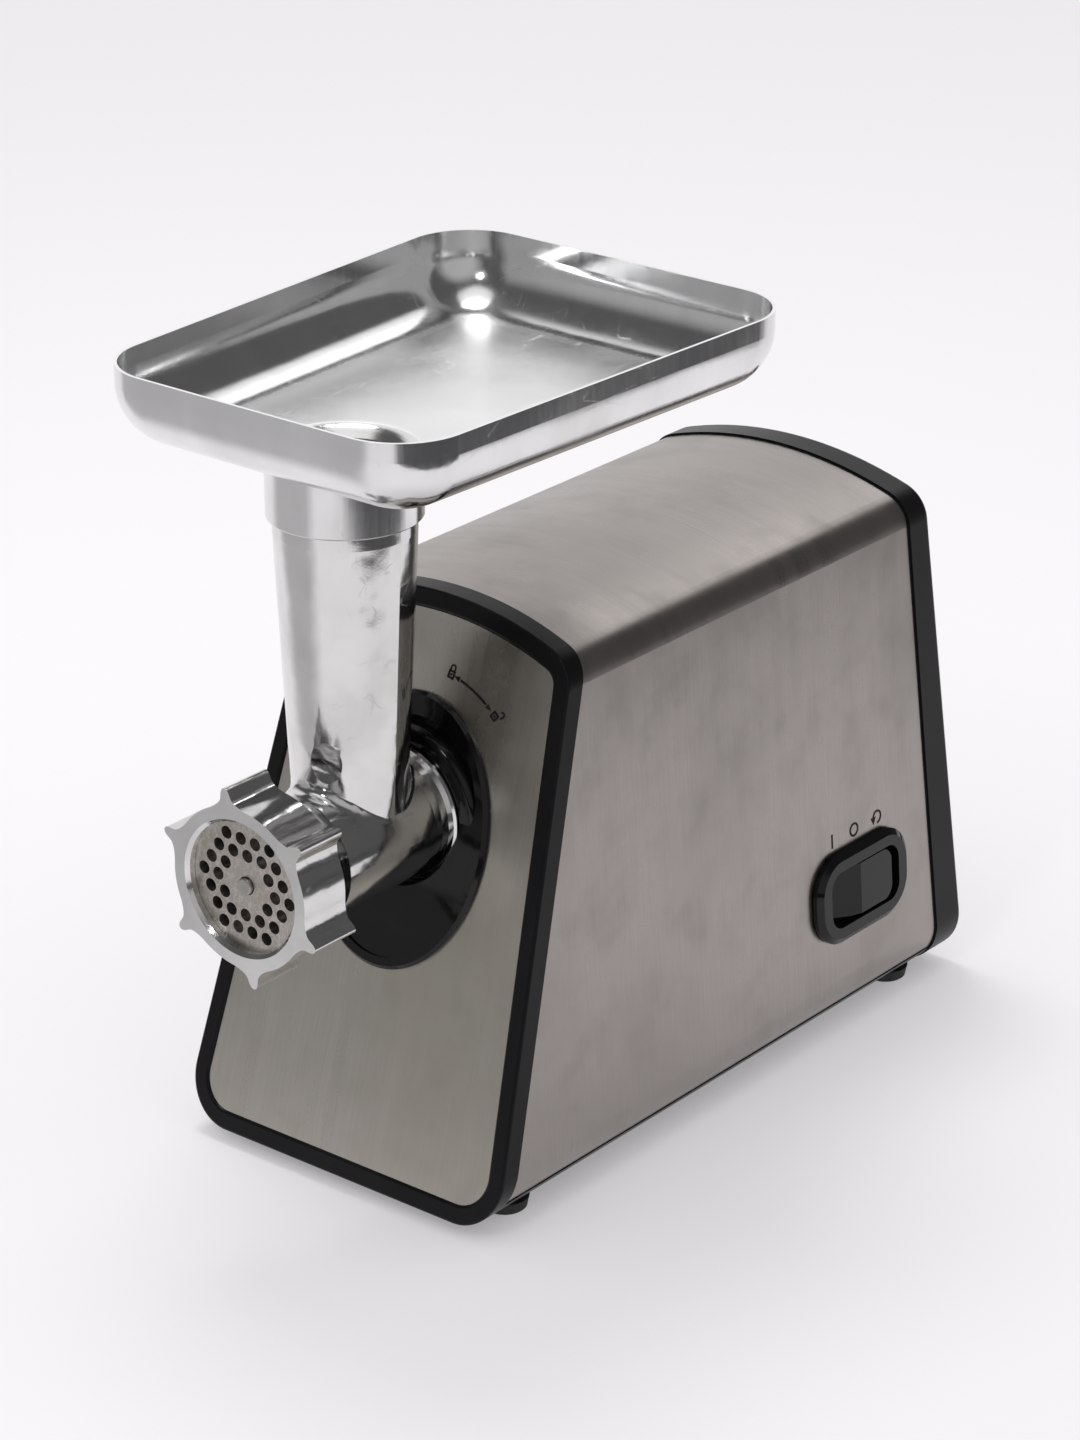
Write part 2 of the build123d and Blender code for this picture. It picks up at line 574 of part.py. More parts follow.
parts["motor_bracket_front"] = bracket(183, 187, 9.05, (0, 90, 180, 270)) - along_y(
    MOTOR_X, MOTOR_Z, 180, 190, 9.05
)
parts["motor_bracket_rear"] = bracket(276, 281, 9.05, (45, 135, 225, 315))
posts = []
for a in (0, 90, 180, 270):
    x = MOTOR_X + (STATOR_R - 0.5) * cos(radians(a))
    z = MOTOR_Z + (STATOR_R - 0.5) * sin(radians(a))
    posts.append(along_y(x, z, 187.05, STATOR[0] - 0.05, 1.8))
    posts.append(along_y(x, z, STATOR[1] + 0.05, 275.95, 1.8))
parts["motor_posts"] = Part() + posts
parts["bearing_front"] = ring_y(MOTOR_X, MOTOR_Z, 183, 189, 9.0, 4.06)
parts["bearing_rear"] = ring_y(MOTOR_X, MOTOR_Z, 275, 281, 9.0, 4.06)
holders = []
carbons = []
springs = []
for side in (-1, 1):
    holder = Pos(MOTOR_X + side * 24, depth(262), MOTOR_Z) * Box(20, 11, 9)
    holder -= Pos(MOTOR_X + side * 24, depth(262), MOTOR_Z) * Box(22, 7.2, 5.2)
    holder += Pos(MOTOR_X + side * 30, depth(271.7), MOTOR_Z) * Box(6, 8.5, 9)
    holders.append(holder)
    carbon = Pos(MOTOR_X + side * 18.5, depth(262), MOTOR_Z) * Box(12, 7, 5)
    carbon -= along_y(MOTOR_X, MOTOR_Z, 250, 274, 12.6)
    carbons.append(carbon)
    coil_path = Helix(pitch=1.6, height=8.5, radius=1.9)
    wire = sweep(Plane(origin=coil_path @ 0, z_dir=coil_path % 0) * Circle(0.3), path=coil_path)
    springs.append(Pos(MOTOR_X + side * 25.0, depth(262), MOTOR_Z) * Rot(0, side * 90, 0) * wire)
parts["brush_holders"] = Part() + holders
parts["carbon_brushes"] = Part() + carbons
parts["brush_springs"] = Part() + springs

# ---------------------------------------------------------------- grinding head
thread = []
for i in range(5):
    d = 2.0 + 3.0 * i
    thread += [(28.2, d), (BARREL_R, d + 0.9), (BARREL_R, d + 1.3), (28.2, d + 2.2)]
head_outer = (
    [(0, 0.0), (28.2, 0.0)] + thread
    + [(28.4, BARREL_LENGTH), (28.4, 20.5), (TUBE_R, 29.0), (TUBE_R, 77.0)]
)
flare = [(TUBE_R + (FLANGE_R - TUBE_R) * (1 - cos(radians(a))), 77.0 + (FLANGE_FRONT - 77.0) * sin(radians(a)))
         for a in (22, 45, 68, 90)]
head_outer += flare + [(FLANGE_R, FLANGE_BACK - 0.5), (FLANGE_R - 0.5, FLANGE_BACK), (TAIL_R, FLANGE_BACK), (TAIL_R, TAIL_END - 1), (TAIL_R - 1, TAIL_END)]
head_outer += [(0, TAIL_END)]
tube = turned(head_outer)
neck_profile = make_face(
    Polyline((0, 4.0), (NECK_R0 + NECK_FLARE * 4.0, 4.0), (NECK_RIM_R, (NECK_RIM_R - NECK_R0) / NECK_FLARE),
             (NECK_RIM_R, NECK_TOP - 1.0), (NECK_RIM_R - 1.0, NECK_TOP), (0, NECK_TOP), close=True)
)
neck = Pos(0, depth(NECK_DEPTH), HEAD_Z) * revolve(Plane.XZ * neck_profile, Axis.Z)
head = tube + neck
seam = [
    e for e in head.edges()
    if depth(25) < e.center().Y < depth(85) and HEAD_Z + 2 < e.center().Z < HEAD_Z + 30
    and e.length > 15 and e.geom_type != GeomType.CIRCLE and e.geom_type != GeomType.LINE
]
head = fillet(seam, 4.0)
cavity = turned(
    [(0, -1.0), (PLATE_R + 0.3, -1.0), (PLATE_R + 0.3, PLATE_THICK + 0.1), (25.4, PLATE_THICK + 0.1), (25.4, 13.0),
     (TUBE_BORE, 16.0), (TUBE_BORE, TAIL_END - 10), (0, TAIL_END - 10)]
)
throat_profile = make_face(
    Polyline((0, 0), (THROAT_ROOT_R, 0), (THROAT_ROOT_R, THROAT_START - 0.9), (THROAT_R, THROAT_START),
             (THROAT_R, NECK_TOP - 12), (FUNNEL_R, NECK_TOP + 1), (0, NECK_TOP + 1), close=True)
)
throat = Pos(0, depth(NECK_DEPTH), HEAD_Z) * revolve(Plane.XZ * throat_profile, Axis.Z)
head = head - cavity - throat - along_y(0, HEAD_Z, 95, 120, 12.0)
head -= Pos(0, depth(2.4), HEAD_Z - PLATE_R - 0.6) * Box(3.6, 5.4, 3.4)
dimple_turn = radians(19)
dimple = Pos(38.55 * sin(dimple_turn), depth(NECK_DEPTH) - 38.55 * cos(dimple_turn), HEAD_Z + 37.0) * Sphere(18.0)
dimple = dimple & Pos(0, depth(NECK_DEPTH) - 30, HEAD_Z + 49.5) * Box(60, 60, 40)
parts["head_casting"] = head - dimple
parts["head_bush"] = ring_y(0, HEAD_Z, TAIL_END - 14, TAIL_END - 0.5, 11.95, 9.3) + ring_y(
    0, HEAD_Z, TAIL_END - 14, TAIL_END - 10.05, 16.0, 9.3
)

# hole plate: 30 holes on a triangular lattice, the middle seven left out
rows = [(4, 3), (5, 2), (6, 1), (7, 0), (6, -1), (5, -2), (4, -3)]
plate = along_y(0, 0, 0, PLATE_THICK, PLATE_R)
for count, row in rows:
    for i in range(count):
        x = (i - (count - 1) / 2) * HOLE_PITCH
        z = row * HOLE_PITCH * sqrt(3) / 2
        if sqrt(x * x + z * z) > 1.1 * HOLE_PITCH:
            plate -= along_y(x, z, -1, PLATE_THICK + 1, HOLE_D / 2)
plate -= along_y(0, 0, -1, PLATE_THICK + 1, STUD_R + 0.3)
plate = Pos(0, 0, HEAD_Z) * Rot(0, -PLATE_TURN, 0) * plate
key = Pos(0, depth(2.5), HEAD_Z - PLATE_R - 0.6) * Box(3.0, 4.8, 2.4)
parts["hole_plate"] = plate + (key - along_y(0, HEAD_Z, -1, 6, PLATE_R - 0.5))

# ring nut
nut_pts = []
for k in range(NUT_LOBES):
    c = radians(NUT_TIP_ANGLE + 360 / NUT_LOBES * k)
    for a, r in ((-17.0, NUT_VALLEY_R), (-9.0, NUT_VALLEY_R + 0.9), (-4.5, NUT_VALLEY_R + 2.8),
                 (-2.2, NUT_TIP_R - 0.9), (0.0, NUT_TIP_R), (2.2, NUT_TIP_R - 0.9), (4.5, NUT_VALLEY_R + 2.8),
                 (9.0, NUT_VALLEY_R + 0.9), (17.0, NUT_VALLEY_R)):
        t = c + radians(a)
        nut_pts.append((r * cos(t), r * sin(t)))
lobe_path = Curve()
for k in range(NUT_LOBES):
    base = 9 * k
    lobe_path += Spline(*[nut_pts[base + i] for i in range(9)])
    start = nut_pts[base + 8]
    end = nut_pts[(base + 9) % len(nut_pts)]
    mid = radians(NUT_TIP_ANGLE + 360 / NUT_LOBES * (k + 0.5))
    lobe_path += ThreePointArc(start, (NUT_VALLEY_R * cos(mid), NUT_VALLEY_R * sin(mid)), end)
nut_face = make_face(lobe_path)
nut = Pos(0, depth(NUT_BACK), HEAD_Z) * extrude(Plane.XZ * nut_face, amount=NUT_BACK - NUT_FRONT)
nut -= along_y(0, HEAD_Z, NUT_FRONT - 1, 30, NUT_APERTURE)
nut -= along_y(0, HEAD_Z, -0.1, 30, NUT_BORE)
bevel = turned([(NUT_APERTURE - 2, NUT_FRONT - 2), (NUT_APERTURE + 3.4, NUT_FRONT - 2), (NUT_APERTURE - 2, NUT_FRONT + 3.4)])
parts["ring_nut"] = nut - bevel

# auger with its drive tail, blade stud and blade
auger_core = along_y(0, HEAD_Z, 9.6, 91.3, 10.5)
FLIGHT_PITCH = 27.0
FLIGHT_TURNS = 2.6
FLIGHT_R = 20.2
flight_path = Helix(pitch=FLIGHT_PITCH, height=FLIGHT_PITCH * FLIGHT_TURNS, radius=14.2)
flight_section = Plane(origin=flight_path @ 0, x_dir=(1, 0, 0), z_dir=flight_path % 0) * Rectangle(2 * (FLIGHT_R - 14.2), 3.2)
flight = sweep(flight_section, path=flight_path, is_frenet=True)
flight = Pos(0, depth(90), HEAD_Z) * Rot(90, 0, 0) * flight
auger = (auger_core + flight) & along_y(0, HEAD_Z, 9.6, 106.8, FLIGHT_R - 0.3)
auger += along_y(0, HEAD_Z, 91.2, 106.8, 8.9)
auger += Pos(0, depth(78), HEAD_Z) * Rot(90, 0, 0) * Cone(10.6, 12.5, 26)
parts["auger"] = auger
tail = Pos(0, depth(119.5), HEAD_Z) * extrude(Plane.XZ * RegularPolygon(6.7, 6), amount=12.65)
parts["auger_drive_tail"] = tail
stud = along_y(0, HEAD_Z, -1.6, 5.05, STUD_R)
stud_edge = stud.edges().filter_by(GeomType.CIRCLE).sort_by(Axis.Y)[0]
stud = fillet(stud_edge, 0.8)
stud += Pos(0, depth(7.3), HEAD_Z) * Box(8.0, 4.5, 8.0)
parts["auger_stud"] = stud
blade = along_y(0, HEAD_Z, PLATE_THICK + 0.15, 9.5, 10.5)
for k in range(4):
    arm = Pos(0, 0, HEAD_Z) * Rot(0, 90 * k + 20, 0) * Pos(13.5, depth(7.2), 1.2) * Box(19.5, 4.1, 6.0)
    blade += arm
blade &= along_y(0, HEAD_Z, PLATE_THICK + 0.15, 9.5, 23.5)
blade -= Pos(0, depth(7.3), HEAD_Z) * Box(8.1, 12, 8.1)
parts["cutter_blade"] = blade

# ---------------------------------------------------------------- tray
def tray_loop(inset, z):
    y_front = -TRAY_HALF_LENGTH + inset
    y_rear = TRAY_HALF_LENGTH - inset
    flare_rate = (TRAY_HALF_REAR - TRAY_HALF_FRONT) / (2 * TRAY_HALF_LENGTH)
    x_front = TRAY_HALF_FRONT + flare_rate * inset - inset
    x_rear = TRAY_HALF_REAR - flare_rate * inset - inset
    face = make_face(Polyline((-x_front, y_front), (x_front, y_front), (x_rear, y_rear), (-x_rear, y_rear), close=True))
    face = fillet(face.vertices(), max(TRAY_CORNER - inset, 4.0))
    return Pos(0, depth(TRAY_DEPTH), HEAD_Z + z) * face


tray_floor_z = TRAY_RIM_Z - TRAY_HEIGHT
outer = extrude(tray_loop(0.0, tray_floor_z), amount=TRAY_HEIGHT)
outer_edges = outer.faces().sort_by(Axis.Z)[0].edges()
outer = fillet(outer_edges, TRAY_ROUND)
inner = extrude(tray_loop(TRAY_SHEET, tray_floor_z + TRAY_SHEET), amount=TRAY_HEIGHT)
inner_edges = inner.faces().sort_by(Axis.Z)[0].edges()
inner = fillet(inner_edges, TRAY_ROUND - TRAY_SHEET)
tray = outer - inner
tray -= Pos(0, depth(NECK_DEPTH), HEAD_Z + tray_floor_z) * Cylinder(DISH_R, 20)
dish_top = [(DISH_R, 0), (26.0, 0), (LIP_R, -5.2), (LIP_R, -LIP_DROP)]
dish_under = [(LIP_R + TRAY_SHEET, -LIP_DROP), (LIP_R + TRAY_SHEET, -5.73), (26.46, -TRAY_SHEET), (DISH_R, -TRAY_SHEET)]
dish_face = make_face(Polyline(*dish_top, *dish_under, close=True))
for x, z, bend in ((26.0, 0, 7.0), (LIP_R, -5.2, 4.0), (LIP_R + TRAY_SHEET, -5.73, 2.8), (26.46, -TRAY_SHEET, 5.8)):
    bend_at = dish_face.vertices().sort_by_distance((x, z, 0))[0]
    dish_face = fillet(bend_at, bend)
dish = Pos(0, depth(NECK_DEPTH), HEAD_Z + tray_floor_z + TRAY_SHEET) * revolve(Plane.XZ * dish_face, Axis.Z)
parts["tray"] = tray + dish
sleeve_profile = make_face(
    Polyline((SLEEVE_BORE, SLEEVE_BOTTOM), (SLEEVE_R - 0.6, SLEEVE_BOTTOM), (SLEEVE_R, SLEEVE_BOTTOM + 0.6),
             (SLEEVE_R, tray_floor_z - 2.6), (SLEEVE_R + 4.0, tray_floor_z - 0.05), (SLEEVE_R + 1.3, tray_floor_z - 0.05),
             (SLEEVE_BORE + 0.4, tray_floor_z - 1.8), (24.2, NECK_TOP + 1.0), (24.2, NECK_TOP + 0.2),
             (SLEEVE_BORE, NECK_TOP + 0.2), close=True)
)
parts["tray_sleeve"] = Pos(0, depth(NECK_DEPTH), HEAD_Z) * revolve(Plane.XZ * sleeve_profile, Axis.Z)

os.makedirs("parts", exist_ok=True)
for name, shape in parts.items():
    export_step(shape, "parts/" + name + ".step")
    print(name, len(shape.solids()), round(shape.volume / 1000, 2))
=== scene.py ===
# %% [markdown]
# # A countertop meat grinder, finished in Blender
# The shapes come from exact solids that are already packed with their joints. This lesson gives every one
# of them the surface it has on the real machine: brushed sheet steel, satin and polished black mouldings,
# a polished cast head, a stamped aluminium tray, and the plainer metals inside. Each step starts with a
# note on what the real finish is, how it could be made, and why it is made this way here.

# %% [markdown]
# The imported parts are loaded first. Everything is in metres: +Z is up, the hole plate faces -Y, and the
# switch is on the +X side. The finished machine has to fit inside it.

# %% Load the imported parts
import json
import math

import bmesh
import bpy
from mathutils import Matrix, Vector

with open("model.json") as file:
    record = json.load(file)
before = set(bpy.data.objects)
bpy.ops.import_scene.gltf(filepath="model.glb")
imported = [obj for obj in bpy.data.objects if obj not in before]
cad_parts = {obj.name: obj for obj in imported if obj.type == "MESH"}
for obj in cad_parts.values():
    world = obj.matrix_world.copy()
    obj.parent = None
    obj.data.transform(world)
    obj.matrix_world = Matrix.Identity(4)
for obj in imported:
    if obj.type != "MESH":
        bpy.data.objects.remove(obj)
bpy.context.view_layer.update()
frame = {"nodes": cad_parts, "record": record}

# %% [markdown]
# The camera stands where a person would, a little above the tray and off to the switch side. A long lens
# keeps the sides of the housing from spreading. A wide lens close by would show the same parts, but the
# tray would swell towards the viewer.

# %% Camera
lens = bpy.data.cameras.new("long_lens")
lens.lens = 109.99
lens.sensor_width = 36.0
lens.sensor_fit = "AUTO"
lens.clip_start = 0.05
lens.clip_end = 20.0
camera = bpy.data.objects.new("camera", lens)
camera.location = (0.981607, -1.245687, 0.825613)
camera.rotation_euler = (math.radians(90 - 23.335), 0.0, math.radians(38.967))
bpy.context.scene.collection.objects.link(camera)
bpy.context.scene.camera = camera
bpy.context.scene.view_settings.view_transform = "Standard"
print("camera at", [round(v, 3) for v in camera.location], "lens", round(lens.lens, 1), "mm")

# %% [markdown]
# ## Small tools for shader trees
# Shader trees are long to write link by link. Two helpers keep them readable: `put` adds a node and fills
# its sockets by name, and `calc` adds one Math node and hands back its result.

# %% Tree helpers
def put(tree, kind, settings=None, **sockets):
    made = tree.nodes.new("ShaderNode" + kind)
    for name, value in (settings or {}).items():
        setattr(made, name, value)
    for name, value in sockets.items():
        socket = made.inputs[name.replace("_", " ")]
        if isinstance(value, bpy.types.NodeSocket):
            tree.links.new(value, socket)
        else:
            socket.default_value = value
    return made


def calc(tree, operation, *values, clamp=False):
    made = tree.nodes.new("ShaderNodeMath")
    made.operation = operation
    made.use_clamp = clamp
    for socket, value in zip(made.inputs, values):
        if isinstance(value, bpy.types.NodeSocket):
            tree.links.new(value, socket)
        else:
            socket.default_value = value
    return made.outputs[0]


def vector_calc(tree, operation, first, second):
    made = tree.nodes.new("ShaderNodeVectorMath")
    made.operation = operation
    for socket, value in zip(made.inputs, (first, second)):
        if isinstance(value, bpy.types.NodeSocket):
            tree.links.new(value, socket)
        else:
            socket.default_value = value
    return made.outputs[0]


def ramp_between(tree, value, low, high, to_low=0.0, to_high=1.0):
    made = put(tree, "MapRange", {"interpolation_type": "SMOOTHSTEP"}, Value=value)
    for name, number in (("From Min", low), ("From Max", high), ("To Min", to_low), ("To Max", to_high)):
        if isinstance(number, bpy.types.NodeSocket):
            tree.links.new(number, made.inputs[name])
        else:
            made.inputs[name].default_value = number
    return made.outputs["Result"]


# %% [markdown]
# ## Effects shared by several finishes
# Wear and grain come back on many parts, at different scales. Each effect is one shader node group with
# named inputs, so a finish only states its own values. `effect` makes an empty group with its sockets.

# %% Make an empty effect
def effect(name, inputs, outputs):
    group = bpy.data.node_groups.new(name, "ShaderNodeTree")
    for label, value in inputs:
        kind = "NodeSocketVector" if isinstance(value, tuple) else "NodeSocketFloat"
        socket = group.interface.new_socket(label, in_out="INPUT", socket_type=kind)
        socket.default_value = value
    for label in outputs:
        group.interface.new_socket(label, in_out="OUTPUT", socket_type="NodeSocketFloat")
    return group, group.nodes.new("NodeGroupInput").outputs, group.nodes.new("NodeGroupOutput").inputs


def where(tree):
    return put(tree, "TexCoord").outputs["Object"]


# %% [markdown]
# Brushed sheet carries fine parallel lines that a belt left behind, and broader, softer streaks among
# them. A bitmap of scratches would need a flat unwrap of every panel. Noise that is squeezed along one
# axis and stretched along the others gives the same lines in space, so they also run over a bend.

# %% Effect: brushed lines
brushed_lines, given, result = effect(
    "brushed_lines",
    [("Lines per metre", (2400.0, 2400.0, 40.0)), ("Streaks per metre", (160.0, 160.0, 6.0))],
    ["Lines", "Streaks"],
)
squeezed = vector_calc(brushed_lines, "MULTIPLY", where(brushed_lines), given["Lines per metre"])
lines = put(brushed_lines, "TexNoise", Vector=squeezed, Scale=1.0, Detail=3.0, Roughness=0.65)
loose = vector_calc(brushed_lines, "MULTIPLY", where(brushed_lines), given["Streaks per metre"])
streaks = put(brushed_lines, "TexNoise", Vector=loose, Scale=1.0, Detail=2.0, Roughness=0.5)
brushed_lines.links.new(ramp_between(brushed_lines, lines.outputs["Fac"], 0.25, 0.75), result["Lines"])
brushed_lines.links.new(ramp_between(brushed_lines, streaks.outputs["Fac"], 0.3, 0.7), result["Streaks"])
print("brushed_lines has", len(brushed_lines.nodes), "nodes")

# %% [markdown]
# Scratches from use wander, and they are thin. The zero line of a stretched noise field is a thin curve
# that never repeats, so a narrow band around it reads as a scratch. Three fields turned against each
# other keep the marks from all running one way, and a slow noise breaks them into short lengths.

# %% Effect: wandering scratches
wandering_scratches, given, result = effect(
    "wandering_scratches", [("Density", 90.0), ("Width", 0.012), ("Cover", 0.5)], ["Scratches"]
)
marks = None
for turn in ((0.3, 0.2, 0.5), (1.1, 0.7, 1.9), (0.5, 1.6, 2.7)):
    turned = put(
        wandering_scratches, "Mapping", Vector=where(wandering_scratches), Rotation=turn, Scale=(1.0, 0.16, 0.5)
    )
    field = put(
        wandering_scratches, "TexNoise", Vector=turned.outputs[0], Scale=given["Density"], Detail=1.0, Roughness=0.4
    )
    from_middle = calc(wandering_scratches, "SUBTRACT", field.outputs["Fac"], 0.5)
    off_line = calc(wandering_scratches, "ABSOLUTE", from_middle)
    band = ramp_between(wandering_scratches, off_line, 0.0, given["Width"], 1.0, 0.0)
    marks = band if marks is None else calc(wandering_scratches, "MAXIMUM", marks, band)
patchy = put(wandering_scratches, "TexNoise", Vector=where(wandering_scratches), Scale=130.0, Detail=2.0)
open_area = calc(wandering_scratches, "SUBTRACT", 1.0, given["Cover"])
full_area = calc(wandering_scratches, "ADD", open_area, 0.1)
shown = ramp_between(wandering_scratches, patchy.outputs["Fac"], open_area, full_area)
wandering_scratches.links.new(calc(wandering_scratches, "MULTIPLY", marks, shown), result["Scratches"])
print("wandering_scratches has", len(wandering_scratches.nodes), "nodes")

# %% [markdown]
# Hands leave a film that dulls steel and polish in soft patches. One noise for the patches and a finer one
# for their ragged borders are enough; the finish decides whether it changes colour or only roughness.

# %% Effect: hand film
hand_film, given, result = effect("hand_film", [("Patches per metre", 14.0), ("Cover", 0.45)], ["Film"])
patches = put(
    hand_film, "TexNoise", Vector=where(hand_film), Scale=given["Patches per metre"], Detail=5.0, Roughness=0.55
)
start = calc(hand_film, "SUBTRACT", 0.86, given["Cover"])
full = calc(hand_film, "ADD", start, 0.3)
hand_film.links.new(ramp_between(hand_film, patches.outputs["Fac"], start, full), result["Film"])
print("hand_film has", len(hand_film.nodes), "nodes")

# %% [markdown]
# Edges of a moulding or casting catch rubbing first. A Bevel node gives the normal that a rounded edge
# would have; where it parts from the true normal there is an edge. Painting edges by hand would have to be
# redone whenever a solid changes. A noise makes the wear uneven.

# %% Effect: rubbed edges
rubbed_edges, given, result = effect("rubbed_edges", [("Reach", 0.0008), ("Strength", 1.0)], ["Edges"])
softened = put(rubbed_edges, "Bevel", {"samples": 4}, Radius=given["Reach"])
true_normal = put(rubbed_edges, "NewGeometry").outputs["Normal"]
meeting = rubbed_edges.nodes.new("ShaderNodeVectorMath")
meeting.operation = "DOT_PRODUCT"
rubbed_edges.links.new(softened.outputs[0], meeting.inputs[0])
rubbed_edges.links.new(true_normal, meeting.inputs[1])
parting = calc(rubbed_edges, "SUBTRACT", 1.0, meeting.outputs["Value"])
uneven = put(rubbed_edges, "TexNoise", Vector=where(rubbed_edges), Scale=210.0, Detail=3.0)
worn = calc(rubbed_edges, "MULTIPLY", ramp_between(rubbed_edges, parting, 0.02, 0.22), uneven.outputs["Fac"])
rubbed_edges.links.new(calc(rubbed_edges, "MULTIPLY", worn, given["Strength"], clamp=True), result["Edges"])
print("rubbed_edges has", len(rubbed_edges.nodes), "nodes")

# %% [markdown]
# No moulded or cast skin is perfectly flat. Polished castings roll gently where the buffing wheel passed,
# and spark-eroded moulds leave a fine even pebble. The group gives both heights and the finish weighs them.

# %% Effect: rolling skin
rolling_skin, given, result = effect(
    "rolling_skin", [("Rolls per metre", 55.0), ("Pebbles per metre", 2600.0)], ["Rolls", "Pebbles"]
)
rolls = put(
    rolling_skin, "TexNoise", Vector=where(rolling_skin), Scale=given["Rolls per metre"], Detail=2.0, Roughness=0.4
)
pebbles = put(
    rolling_skin, "TexVoronoi", {"feature": "SMOOTH_F1"}, Vector=where(rolling_skin), Scale=given["Pebbles per metre"]
)
rolling_skin.links.new(rolls.outputs["Fac"], result["Rolls"])
rolling_skin.links.new(pebbles.outputs["Distance"], result["Pebbles"])
print("rolling_skin has", len(rolling_skin.nodes), "nodes")

# %% [markdown]
# Turned and faced parts carry rings around the axis they were turned on. Every turned part here lies on a
# line along Y, so the ring pattern only needs the distance from that line in X and Z.

# %% Effect: turned rings
turned_rings, given, result = effect(
    "turned_rings", [("Axis point", (0.0, 0.0, 0.1436)), ("Rings per metre", 1900.0)], ["Rings"]
)
from_axis = vector_calc(turned_rings, "SUBTRACT", where(turned_rings), given["Axis point"])
flat = vector_calc(turned_rings, "MULTIPLY", from_axis, (1.0, 0.0, 1.0))
reach = turned_rings.nodes.new("ShaderNodeVectorMath")
reach.operation = "LENGTH"
turned_rings.links.new(flat, reach.inputs[0])
ring_count = calc(turned_rings, "MULTIPLY", reach.outputs["Value"], given["Rings per metre"])
ring_row = put(turned_rings, "CombineXYZ", X=ring_count)
rings = put(turned_rings, "TexNoise", Vector=ring_row.outputs[0], Scale=1.0, Detail=2.0, Roughness=0.6)
turned_rings.links.new(rings.outputs["Fac"], result["Rings"])
print("turned_rings has", len(turned_rings.nodes), "nodes")

# %% [markdown]
# ### Level faces
# Dishes are scrubbed on their floors and hardly on their walls. The mask is full where a face looks
# straight up and fades out as it starts to slope. The tray also uses it to paint its upward faces lighter,
# which is painted light.

# %% Level faces
level_faces, given, result = effect("level_faces", [("Steepness", 0.05)], ["Level"])
facing = put(level_faces, "SeparateXYZ", Vector=put(level_faces, "TexCoord").outputs["Normal"]).outputs["Z"]
start = calc(level_faces, "SUBTRACT", 1.0, given["Steepness"])
level_faces.links.new(ramp_between(level_faces, facing, start, 0.998), result["Level"])
print("level_faces has", len(level_faces.nodes), "nodes")

# %% [markdown]
# ## Finishes
# A finish is one Principled BSDF fed by those effects. `Finish` collects them in the order a surface gets
# them in the shop: a base colour, a second colour that grain or patches bring in, a range of roughness,
# and heights for one Bump node. Values that are the same all over are set on the shader's own sockets.

# %% The finish bench
class Finish:
    def __init__(self, name, colour, rough, metal=0.0, **constants):
        self.material = bpy.data.materials.new(name)
        self.material.use_nodes = True
        self.tree = self.material.node_tree
        self.shader = self.tree.nodes["Principled BSDF"]
        self.colour = put(self.tree, "RGB").outputs[0]
        self.colour.default_value = (*colour, 1.0)
        self.rough = calc(self.tree, "ADD", rough, 0.0)
        self.height = None
        self.shader.inputs["Metallic"].default_value = metal
        for label, value in constants.items():
            self.shader.inputs[label.replace("_", " ")].default_value = value

    def use(self, group, **values):
        made = self.tree.nodes.new("ShaderNodeGroup")
        made.node_tree = group
        for label, value in values.items():
            made.inputs[label.replace("_", " ")].default_value = value
        return made.outputs

    def tint(self, mask, colour, amount=1.0):
        mixed = put(self.tree, "Mix", {"data_type": "RGBA", "clamp_factor": True})
        self.tree.links.new(calc(self.tree, "MULTIPLY", mask, amount), mixed.inputs["Factor"])
        self.tree.links.new(self.colour, mixed.inputs[6])
        mixed.inputs[7].default_value = (*colour, 1.0)
        self.colour = mixed.outputs[2]

    def roughen(self, mask, amount):
        self.rough = calc(self.tree, "MULTIPLY_ADD", mask, amount, self.rough)

    def raise_by(self, mask, metres):
        grown = calc(self.tree, "MULTIPLY", mask, metres)
        self.height = grown if self.height is None else calc(self.tree, "ADD", self.height, grown)

    def done(self, strength=1.0):
        self.tree.links.new(self.colour, self.shader.inputs["Base Color"])
        rough = calc(self.tree, "MAXIMUM", self.rough, 0.02, clamp=True)
        self.tree.links.new(rough, self.shader.inputs["Roughness"])
        if self.height is not None:
            bump = put(self.tree, "Bump", Height=self.height, Distance=1.0, Strength=strength)
            self.tree.links.new(bump.outputs[0], self.shader.inputs["Normal"])
        print(self.material.name, "uses", len(self.tree.nodes), "nodes")
        return self.material


finishes = {}

# %% [markdown]
# ### Brushed housing steel
# The wrap is one stainless sheet that was brushed flat and then folded over a form, so its lines climb one
# side, cross the top and come down the other. Only the Y coordinate varies fast across such lines. The
# front plate was brushed along its height, so there the lines vary fast in X. Both get the same
# wear. Both are the same steel. The plate's lighter base colour is painted light, a lift that makes up for
# the shaded part of the floor that it faces.

# %% Brushed steel for wrap and front plate
def housing_steel(name, bright, warm, lines, streaks):
    steel = Finish(name, bright, 0.26, metal=1.0)
    belt = steel.use(brushed_lines, Lines_per_metre=lines, Streaks_per_metre=streaks)
    clouds = steel.use(hand_film, Patches_per_metre=9.0, Cover=0.44)
    mottle = steel.use(hand_film, Patches_per_metre=42.0, Cover=0.42)
    marks = steel.use(wandering_scratches, Density=70.0, Width=0.006, Cover=0.34)
    steel.tint(belt["Streaks"], tuple(part * 1.07 for part in bright), 0.6)
    steel.tint(belt["Lines"], tuple(part * 0.80 for part in bright), 0.5)
    steel.tint(clouds["Film"], warm, 0.75)
    steel.tint(mottle["Film"], tuple(part * 0.88 for part in warm), 0.4)
    steel.roughen(belt["Streaks"], 0.05)
    steel.roughen(clouds["Film"], 0.05)
    steel.roughen(mottle["Film"], 0.04)
    steel.roughen(marks["Scratches"], 0.06)
    steel.raise_by(belt["Lines"], 0.000008)
    steel.raise_by(marks["Scratches"], -0.000004)
    return steel.done()


